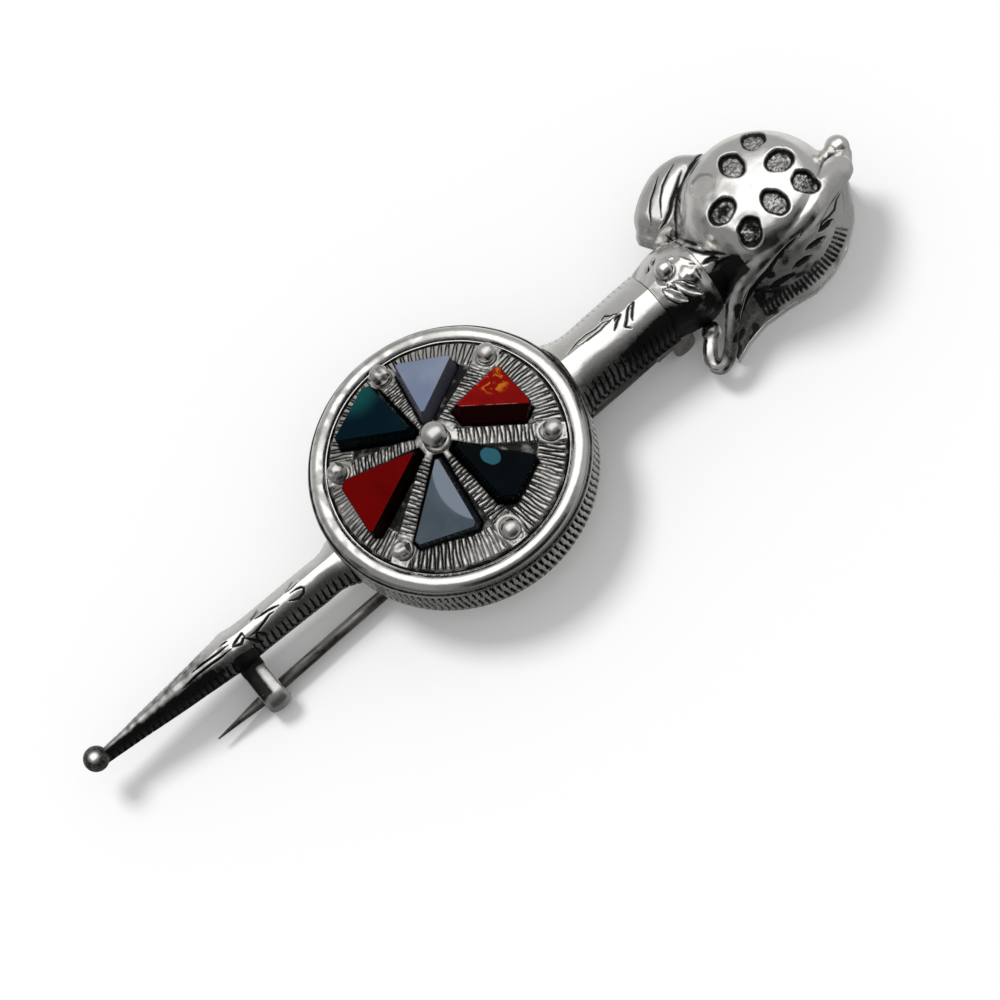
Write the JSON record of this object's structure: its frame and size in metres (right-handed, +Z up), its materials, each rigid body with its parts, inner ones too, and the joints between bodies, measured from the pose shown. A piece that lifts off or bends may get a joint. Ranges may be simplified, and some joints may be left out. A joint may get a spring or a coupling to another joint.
{
  "type": "kilt pin",
  "caption": "Kilt pin shaped as a basket-hilted sword in its sheath, with a round shield set with wedge-cut coloured stones, and a hinged pin behind.",
  "frame": {"origin": "on the surface the pin lies on, under the middle of its length", "axes": "+X along the sword from the sheath's tip to the pommel, +Z up out of the shield's face, +Y to the side of the hilt's scroll, away from the pin's point"},
  "size_m": [0.076, 0.0224, 0.0121],
  "materials": {
    "silver": "polished",
    "dark_silver": "satin",
    "jasper_flecked": "gloss",
    "jasper_red": "gloss",
    "chalcedony": "gloss",
    "agate_teal": "gloss",
    "agate_green": "gloss"
  },
  "bodies": {
    "body": {"sheath": "silver", "shield_case": "silver", "shield_face": "dark_silver", "stone_flecked_red": "jasper_flecked", "stone_grey_far": "chalcedony", "stone_teal": "agate_teal", "stone_deep_red": "jasper_red", "stone_grey_near": "chalcedony", "stone_dark_green": "agate_green", "throat": "silver", "collar": "silver", "hilt": "silver", "hilt_back": "silver", "catch": "dark_silver", "hinge_plate": "silver", "hinge_rivet": "silver"},
    "pin": {"pin": "silver"}
  },
  "joints": [
    {"name": "pin_hinge", "type": "hinge", "parent": "body", "child": "pin", "pos_m": [0.01845, -0.0019, 0.00105], "axis": [0.0436, -0.999, 0], "range_deg": [0, 100]}
  ]
}
